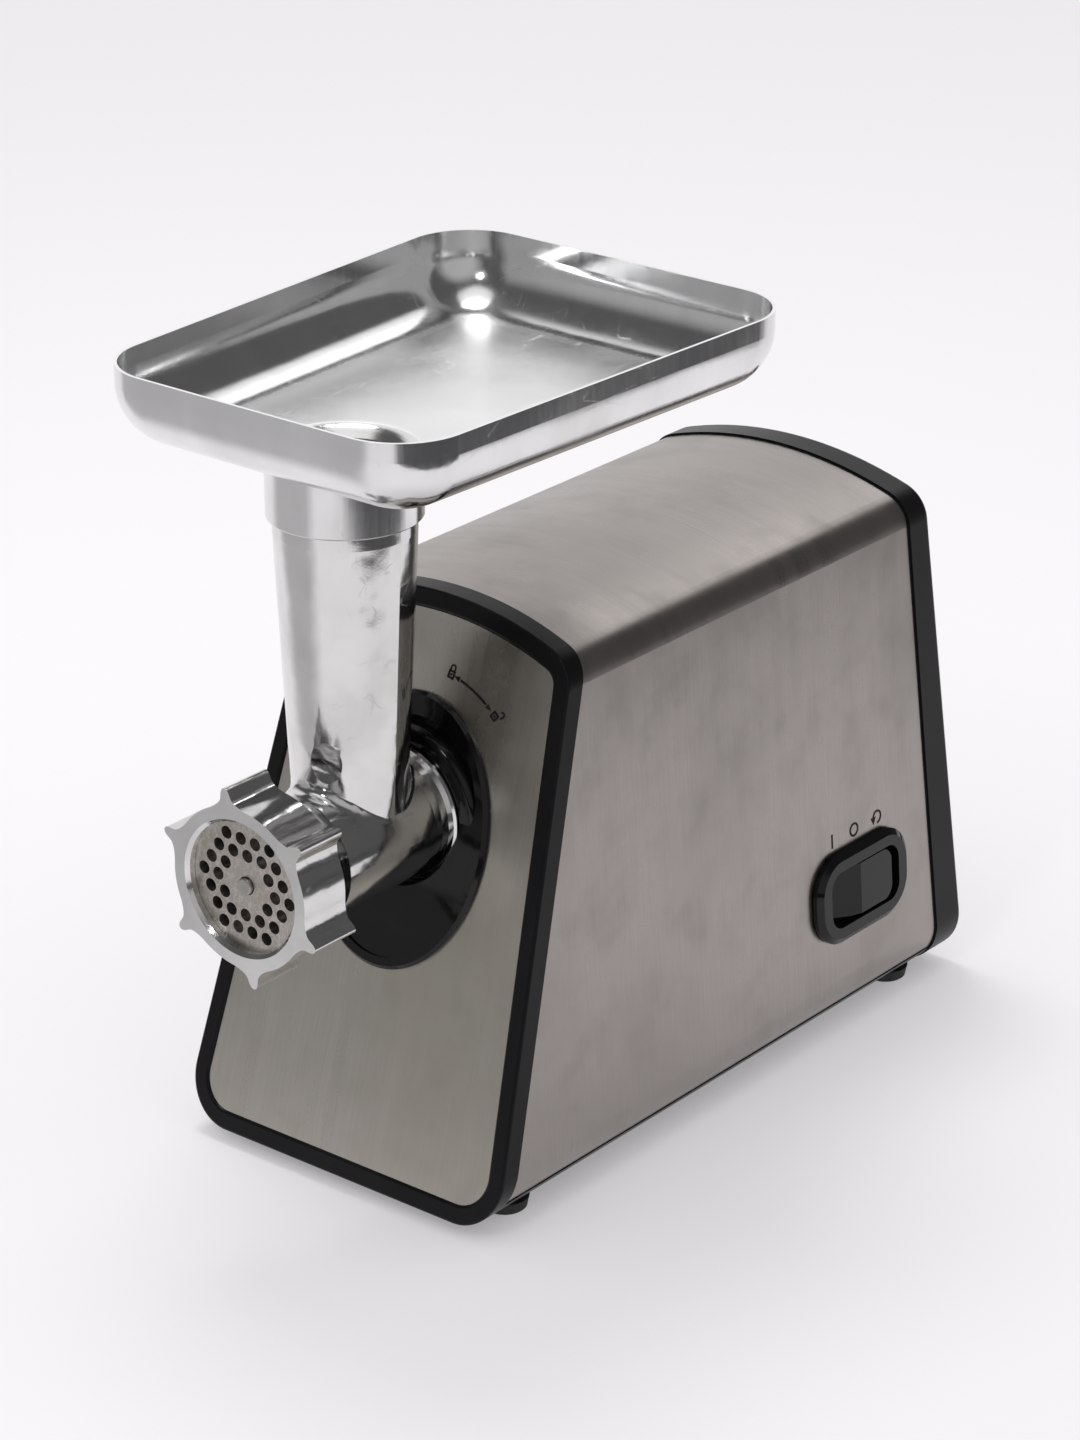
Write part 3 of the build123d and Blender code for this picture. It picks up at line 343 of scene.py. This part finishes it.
finishes["wrap"] = housing_steel(
    "brushed_steel_wrap", (0.365, 0.336, 0.322), (0.315, 0.290, 0.268), (30.0, 2300.0, 30.0), (5.0, 150.0, 5.0)
)
# The front plate's lighter base and warm colours are painted light: the same steel, lifted for the shaded floor it
# faces.
finishes["front"] = housing_steel(
    "brushed_steel_front", (0.480, 0.455, 0.412), (0.420, 0.395, 0.342), (2300.0, 30.0, 30.0), (150.0, 5.0, 5.0)
)

# %% [markdown]
# ### Satin black mouldings
# The two bezels and the base come out of a spark-eroded mould: a fine pebble that scatters the light, with
# edges that handling has rubbed slightly brighter. A plain dark colour would look like a hole in the model.

# %% Satin black
satin = Finish("satin_black_moulding", (0.0045, 0.004, 0.005), 0.30, Specular_IOR_Level=0.17)
skin = satin.use(rolling_skin, Rolls_per_metre=30.0, Pebbles_per_metre=2100.0)
film = satin.use(hand_film, Patches_per_metre=22.0, Cover=0.45)
edges = satin.use(rubbed_edges, Reach=0.0007, Strength=1.0)
marks = satin.use(wandering_scratches, Density=120.0, Width=0.008, Cover=0.4)
satin.tint(film["Film"], (0.009, 0.0085, 0.0095), 0.5)
satin.tint(edges["Edges"], (0.03, 0.029, 0.031), 0.4)
satin.roughen(film["Film"], 0.1)
satin.roughen(edges["Edges"], -0.08)
satin.roughen(marks["Scratches"], 0.08)
satin.raise_by(skin["Pebbles"], 0.000010)
satin.raise_by(skin["Rolls"], 0.00015)
finishes["black_plastic"] = satin.done()

# %% [markdown]
# ### Polished black mouldings
# The oval boss behind the head and the switch are polished. Their look is all reflection, so the colour is
# almost black and the detail is in small changes of roughness: dust film, and hairlines from wiping.

# %% Polished black
gloss = Finish("polished_black_moulding", (0.003, 0.0028, 0.0036), 0.08, Specular_IOR_Level=0.32)
skin = gloss.use(rolling_skin, Rolls_per_metre=26.0, Pebbles_per_metre=900.0)
film = gloss.use(hand_film, Patches_per_metre=34.0, Cover=0.4)
marks = gloss.use(wandering_scratches, Density=160.0, Width=0.006, Cover=0.5)
edges = gloss.use(rubbed_edges, Reach=0.0006, Strength=0.9)
gloss.tint(film["Film"], (0.006, 0.006, 0.007), 0.6)
gloss.tint(edges["Edges"], (0.03, 0.03, 0.032), 0.3)
gloss.roughen(film["Film"], 0.07)
gloss.roughen(marks["Scratches"], 0.12)
gloss.raise_by(skin["Rolls"], 0.00012)
finishes["gloss_black"] = gloss.done()

# %% [markdown]
# ### Polished cast head
# The head, its feed neck and the ring nut are die-cast aluminium, buffed bright. Buffing never flattens
# the casting completely: reflections roll, faint streaks follow the wheel, and the hollows keep a duller
# grey because the wheel cannot reach them.

# %% Polished casting
def bright_casting(name, axis_lines, rough):
    cast = Finish(name, (0.72, 0.72, 0.715), rough, metal=1.0)
    skin = cast.use(rolling_skin, Rolls_per_metre=48.0, Pebbles_per_metre=1500.0)
    wheel = cast.use(brushed_lines, Lines_per_metre=axis_lines, Streaks_per_metre=(60.0, 60.0, 60.0))
    film = cast.use(hand_film, Patches_per_metre=30.0, Cover=0.42)
    marks = cast.use(wandering_scratches, Density=110.0, Width=0.01, Cover=0.5)
    edges = cast.use(rubbed_edges, Reach=0.0009, Strength=1.0)
    cast.tint(wheel["Streaks"], (0.65, 0.65, 0.645), 0.5)
    cast.tint(film["Film"], (0.58, 0.575, 0.56), 0.6)
    cast.tint(edges["Edges"], (0.93, 0.93, 0.92), 0.6)
    cast.roughen(film["Film"], 0.07)
    cast.roughen(wheel["Lines"], 0.04)
    cast.roughen(marks["Scratches"], 0.12)
    cast.raise_by(skin["Rolls"], 0.0007)
    cast.raise_by(skin["Pebbles"], 0.000006)
    cast.raise_by(wheel["Lines"], 0.000003)
    cast.raise_by(marks["Scratches"], -0.000006)
    return cast.done()


finishes["head"] = bright_casting("polished_cast_head", (900.0, 900.0, 60.0), 0.09)
finishes["nut"] = bright_casting("polished_cast_nut", (700.0, 90.0, 700.0), 0.10)

# %% [markdown]
# ### Stamped tray
# The tray is drawn from bright aluminium sheet. The press drags the sheet over its punch, which leaves
# draw lines down the walls, and washing adds faint swirls to the floor. Lines that vary fast in X and Y
# but slowly in Z run down every wall and fade on the flat floor. The floor is also scrubbed dull by every
# wash, while the walls keep their mirror: `level_faces` tells the two apart. The same mask also gives the
# floor a lighter colour, which is painted light on the faces that look up.

# %% Stamped aluminium
tray_sheet = Finish("stamped_tray_aluminium", (0.80, 0.802, 0.805), 0.10, metal=1.0)
draw = tray_sheet.use(brushed_lines, Lines_per_metre=(620.0, 620.0, 26.0), Streaks_per_metre=(70.0, 70.0, 8.0))
skin = tray_sheet.use(rolling_skin, Rolls_per_metre=20.0, Pebbles_per_metre=1300.0)
film = tray_sheet.use(hand_film, Patches_per_metre=16.0, Cover=0.44)
marks = tray_sheet.use(wandering_scratches, Density=60.0, Width=0.006, Cover=0.5)
edges = tray_sheet.use(rubbed_edges, Reach=0.0006, Strength=1.0)
tray_sheet.tint(draw["Streaks"], (0.70, 0.70, 0.705), 0.5)
tray_sheet.tint(film["Film"], (0.64, 0.635, 0.62), 0.5)
tray_sheet.tint(edges["Edges"], (0.95, 0.95, 0.94), 0.6)
# The level mask brings real scrub roughness and also painted light: its lighter tint on upward faces stands in for
# light falling on the tray floor.
scrubbed_and_lit = tray_sheet.use(level_faces, Steepness=0.04)
tray_sheet.tint(scrubbed_and_lit["Level"], (0.90, 0.90, 0.905), 0.8)
tray_sheet.roughen(scrubbed_and_lit["Level"], 0.20)
tray_sheet.roughen(film["Film"], 0.09)
tray_sheet.roughen(draw["Lines"], 0.05)
tray_sheet.roughen(marks["Scratches"], 0.1)
tray_sheet.raise_by(draw["Lines"], 0.000006)
tray_sheet.raise_by(draw["Streaks"], 0.00002)
tray_sheet.raise_by(skin["Rolls"], 0.0005)
finishes["tray_aluminium"] = tray_sheet.done()

# %% [markdown]
# ### Hole plate
# The plate is ground flat and then scrubbed after every use, so it is a warm, duller grey with many fine
# scratches, and darker where juice has stayed in the holes.

# %% Ground plate steel
plate = Finish("ground_plate_steel", (0.44, 0.405, 0.37), 0.28, metal=1.0)
rings = plate.use(turned_rings, Rings_per_metre=2400.0)
marks = plate.use(wandering_scratches, Density=320.0, Width=0.03, Cover=0.75)
film = plate.use(hand_film, Patches_per_metre=90.0, Cover=0.5)
edges = plate.use(rubbed_edges, Reach=0.0005, Strength=1.0)
plate.tint(film["Film"], (0.38, 0.35, 0.31), 0.55)
plate.tint(marks["Scratches"], (0.62, 0.60, 0.57), 0.6)
plate.tint(edges["Edges"], (0.72, 0.70, 0.67), 0.6)
plate.roughen(film["Film"], 0.12)
plate.roughen(rings["Rings"], 0.08)
plate.raise_by(rings["Rings"], 0.00001)
plate.raise_by(marks["Scratches"], -0.000012)
finishes["plate_steel"] = plate.done()

# %% [markdown]
# ### Rubber and print
# The feet are matt rubber that picks up pale dust from the worktop. The lock marks and switch marks are
# screen print: dead black, with slightly broken edges where the ink skipped over the brushed lines.

# %% Rubber and print
rubber = Finish("foot_rubber", (0.018, 0.018, 0.018), 0.72, Specular_IOR_Level=0.35)
skin = rubber.use(rolling_skin, Rolls_per_metre=90.0, Pebbles_per_metre=1700.0)
film = rubber.use(hand_film, Patches_per_metre=120.0, Cover=0.5)
rubber.tint(film["Film"], (0.06, 0.058, 0.055), 0.6)
rubber.roughen(film["Film"], 0.12)
rubber.raise_by(skin["Pebbles"], 0.00003)
rubber.raise_by(skin["Rolls"], 0.0001)
finishes["rubber"] = rubber.done()

ink = Finish("screen_print_black", (0.004, 0.004, 0.004), 0.5, Specular_IOR_Level=0.15)
belt = ink.use(brushed_lines, Lines_per_metre=(2300.0, 2300.0, 40.0), Streaks_per_metre=(300.0, 300.0, 20.0))
film = ink.use(hand_film, Patches_per_metre=260.0, Cover=0.4)
ink.tint(belt["Lines"], (0.03, 0.03, 0.03), 0.5)
ink.tint(film["Film"], (0.035, 0.034, 0.033), 0.5)
ink.roughen(belt["Lines"], 0.12)
ink.raise_by(belt["Lines"], 0.000008)
finishes["print"] = ink.done()

# %% [markdown]
# ### Metals inside
# The gears, shafts, brackets and motor are seldom seen, but whoever lifts the wrap off should find
# them finished too. One function covers the cut and cast metals, with the colour and the depth of its
# machining rings as its values. The ring pattern is centred on the head's shaft for all of them.

# %% Workshop metals
head_axis = (0.0, 0.0, 0.1436)
motor_axis = (0.0, 0.0, 0.0847)


def workshop_metal(name, colour, dull, rough, rings_deep, axis=head_axis, pebbled=0.000004):
    metal = Finish(name, colour, rough, metal=1.0)
    rings = metal.use(turned_rings, Axis_point=axis, Rings_per_metre=1300.0)
    skin = metal.use(rolling_skin, Rolls_per_metre=110.0, Pebbles_per_metre=1400.0)
    film = metal.use(hand_film, Patches_per_metre=70.0, Cover=0.5)
    marks = metal.use(wandering_scratches, Density=210.0, Width=0.015, Cover=0.5)
    edges = metal.use(rubbed_edges, Reach=0.0005, Strength=1.0)
    metal.tint(film["Film"], dull, 0.6)
    metal.tint(edges["Edges"], tuple(min(1.0, part * 1.35) for part in colour), 0.6)
    metal.roughen(film["Film"], 0.14)
    metal.roughen(marks["Scratches"], 0.08)
    metal.raise_by(rings["Rings"], rings_deep)
    metal.raise_by(skin["Pebbles"], pebbled)
    return metal.done()


finishes["tool_steel"] = workshop_metal("ground_tool_steel", (0.46, 0.45, 0.44), (0.30, 0.29, 0.27), 0.24, 0.00001)
finishes["zinc_steel"] = workshop_metal("zinc_plated_steel", (0.56, 0.57, 0.58), (0.42, 0.43, 0.42), 0.32, 0.000004)
finishes["cast_zinc"] = workshop_metal(
    "die_cast_zinc", (0.44, 0.44, 0.43), (0.32, 0.32, 0.31), 0.46, 0.0, pebbled=0.00004
)
finishes["brass"] = workshop_metal("plain_brass", (0.66, 0.49, 0.21), (0.42, 0.28, 0.12), 0.28, 0.000004)
finishes["bronze"] = workshop_metal(
    "sintered_bronze", (0.48, 0.33, 0.16), (0.27, 0.17, 0.08), 0.48, 0.0, pebbled=0.00005
)

# %% [markdown]
# ### Motor
# The motor cores are stacks of thin sheet along the shaft: dark, with a line every half millimetre. The
# windings are enamelled wire, so the copper finish is striped around the shaft and coated in clear
# varnish. Carbon is matt and slightly porous.

# %% Motor finishes
core = Finish("stacked_core_sheet", (0.15, 0.15, 0.16), 0.42, metal=1.0)
stack = core.use(brushed_lines, Lines_per_metre=(8.0, 1500.0, 8.0), Streaks_per_metre=(30.0, 300.0, 30.0))
film = core.use(hand_film, Patches_per_metre=60.0, Cover=0.5)
core.tint(stack["Lines"], (0.06, 0.055, 0.055), 0.7)
core.tint(film["Film"], (0.20, 0.13, 0.09), 0.25)
core.roughen(stack["Lines"], 0.2)
core.raise_by(stack["Lines"], 0.00006)
finishes["lamination"] = core.done()

wire = Finish("varnished_copper_wire", (0.58, 0.22, 0.09), 0.32, metal=1.0, Coat_Roughness=0.12, Coat_Weight=0.6)
turns = wire.use(brushed_lines, Lines_per_metre=(30.0, 1100.0, 900.0), Streaks_per_metre=(80.0, 120.0, 120.0))
film = wire.use(hand_film, Patches_per_metre=80.0, Cover=0.5)
wire.tint(turns["Lines"], (0.30, 0.10, 0.045), 0.7)
wire.tint(film["Film"], (0.42, 0.17, 0.07), 0.5)
wire.roughen(turns["Lines"], 0.16)
wire.raise_by(turns["Lines"], 0.00012)
finishes["copper"] = wire.done()

carbon = Finish("pressed_carbon", (0.022, 0.022, 0.023), 0.6, Specular_IOR_Level=0.4)
skin = carbon.use(rolling_skin, Rolls_per_metre=200.0, Pebbles_per_metre=3000.0)
marks = carbon.use(wandering_scratches, Density=500.0, Width=0.02, Cover=0.6)
carbon.tint(marks["Scratches"], (0.09, 0.09, 0.092), 0.6)
carbon.roughen(marks["Scratches"], -0.2)
carbon.raise_by(skin["Pebbles"], 0.00004)
finishes["carbon"] = carbon.done()

# %% [markdown]
# ### Natural nylon
# The large wheel, the fan and the head bush are natural nylon, which is milky rather than white. A little
# scattering under the surface gives that depth, and grease has yellowed it in patches.

# %% Nylon
nylon = Finish("natural_nylon", (0.72, 0.70, 0.62), 0.42, Subsurface_Weight=0.12, Subsurface_Scale=0.002)
skin = nylon.use(rolling_skin, Rolls_per_metre=70.0, Pebbles_per_metre=1200.0)
film = nylon.use(hand_film, Patches_per_metre=50.0, Cover=0.5)
nylon.tint(film["Film"], (0.58, 0.50, 0.34), 0.4)
nylon.roughen(film["Film"], -0.12)
nylon.raise_by(skin["Pebbles"], 0.000012)
finishes["nylon"] = nylon.done()

# %% [markdown]
# ## Put the finishes on
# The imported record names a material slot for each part. Most slots have one finish; the two steel panels
# and the two castings differ in the direction of their lines, so those parts are named one by one.

# %% Assign
own_finish = {
    "steel_wrap": "wrap",
    "front_plate": "front",
    "head_casting": "head",
    "auger": "head",
    "ring_nut": "nut",
}
counts = {}
for row in frame["record"]["subparts"]:
    part = frame["nodes"][row["node"]]
    chosen = finishes[own_finish.get(row["node"], row["material_slot"])]
    part.data.materials.clear()
    part.data.materials.append(chosen)
    counts[chosen.name] = counts.get(chosen.name, 0) + 1
print("finishes on parts:", counts)

# %% [markdown]
# ## Floor and light
# The floor is a plain pale sheet. Metal shows mostly what surrounds it, so the surroundings matter more
# than the lamps: a pale room all round would leave the polished head without shape. The world is therefore
# pale for the camera and for soft light, but mirror-like surfaces see a studio: a bright wall behind to the
# left, a bright ceiling panel, a small bright strip high behind, and a dark corner behind to the right. The
# floor sheet follows the same idea with painted shade: in reflections it is painted dark to the front left,
# and painted dark from half a metre to the right of the machine, though the sheet itself goes on.

# %% Floor
sheet = bmesh.new()
bmesh.ops.create_grid(sheet, x_segments=4, y_segments=4, size=6.0)
floor_mesh = bpy.data.meshes.new("floor")
sheet.to_mesh(floor_mesh)
sheet.free()
floor = bpy.data.objects.new("floor", floor_mesh)
bpy.context.scene.collection.objects.link(floor)
FLOOR_GLOW = 0.27
PAINTED_SHADE_FROM_X = 0.50      # painted shade, seen only in reflections, grows from here over 0.12 m to the right
pale = Finish(
    "pale_floor", (0.66, 0.65, 0.66), 0.9, Specular_IOR_Level=0.05, Emission_Color=(1.0, 0.975, 1.0, 1.0)
)
film = pale.use(hand_film, Patches_per_metre=3.0, Cover=0.5)
pale.tint(film["Film"], (0.665, 0.655, 0.665), 0.5)
spot = put(pale.tree, "SeparateXYZ", Vector=put(pale.tree, "NewGeometry").outputs["Position"]).outputs
# Painted shade seen only in reflections: glossy rays find the floor painted near black and without glow past the X
# set above and to the front left.
past_right = ramp_between(pale.tree, spot["X"], PAINTED_SHADE_FROM_X, PAINTED_SHADE_FROM_X + 0.12, 0.0, 0.93)
in_front = ramp_between(pale.tree, spot["Y"], -0.20, -0.42)
to_left = ramp_between(pale.tree, spot["X"], 0.02, -0.24, 0.0, 0.46)
front_left = calc(pale.tree, "MULTIPLY", in_front, to_left)
unlit = calc(pale.tree, "MAXIMUM", past_right, front_left)
unlit = calc(pale.tree, "MULTIPLY", unlit, put(pale.tree, "LightPath").outputs["Is Glossy Ray"])
pale.tint(unlit, (0.02, 0.02, 0.022))
glow = calc(pale.tree, "MULTIPLY_ADD", unlit, -FLOOR_GLOW, FLOOR_GLOW)
pale.tree.links.new(glow, pale.shader.inputs["Emission Strength"])
floor.data.materials.append(pale.done())

# %% Studio surroundings
world = bpy.data.worlds.new("studio")
world.use_nodes = True
bpy.context.scene.world = world
room = world.node_tree
room.nodes.clear()
direction = put(room, "TexCoord").outputs["Generated"]


def panel(towards, edge, full, level):
    unit = Vector(towards).normalized()
    facing = room.nodes.new("ShaderNodeVectorMath")
    facing.operation = "DOT_PRODUCT"
    room.links.new(direction, facing.inputs[0])
    facing.inputs[1].default_value = unit
    return ramp_between(room, facing.outputs["Value"], edge, full, 0.0, level)


mirrored = 0.10
for towards, edge, full, level in (
    ((-0.62, 0.66, 0.36), 0.70, 0.92, 0.82),
    ((-0.05, -0.15, 1.0), 0.88, 0.96, 0.95),
    ((-0.10, 0.72, 0.69), 0.960, 0.992, 0.90),
    ((-0.75, -0.65, 0.02), 0.80, 0.97, 0.32),
    ((0.85, -0.50, 0.25), 0.70, 0.94, 0.40),
):
    mirrored = calc(room, "ADD", mirrored, panel(towards, edge, full, level))
mirrored = calc(room, "MAXIMUM", mirrored, 0.03)
path = put(room, "LightPath").outputs
shown_level = calc(room, "MULTIPLY", path["Is Camera Ray"], 0.88)
mirror_level = calc(room, "MULTIPLY", path["Is Glossy Ray"], mirrored)
neither = calc(room, "SUBTRACT", 1.0, calc(room, "MAXIMUM", path["Is Camera Ray"], path["Is Glossy Ray"]))
level = calc(room, "ADD", calc(room, "ADD", shown_level, mirror_level), calc(room, "MULTIPLY", neither, 0.82))
background = put(room, "Background", Color=(1.0, 0.992, 0.996, 1.0), Strength=level)
room.links.new(background.outputs[0], put(room, "OutputWorld").inputs["Surface"])
print("studio world has", len(room.nodes), "nodes")

# %% [markdown]
# A single broad lamp overhead and slightly behind draws the soft shadow under the machine, and a weaker
# one from the front lifts the hole plate and the front bezel.

# %% Lamps
def softbox(name, place, aim, size, watts):
    lamp = bpy.data.lights.new(name, "AREA")
    lamp.shape = "DISK"
    lamp.size = size
    lamp.energy = watts
    holder = bpy.data.objects.new(name, lamp)
    holder.location = place
    holder.rotation_euler = (Vector(aim) - Vector(place)).to_track_quat("-Z", "Y").to_euler()
    bpy.context.scene.collection.objects.link(holder)
    return holder


softbox("overhead_box", (-0.35, 0.15, 1.5), (0.0, -0.05, 0.1), 0.5, 6.0)
softbox("front_strip", (0.3, -1.2, 1.3), (0.0, -0.1, 0.15), 0.22, 1.6)
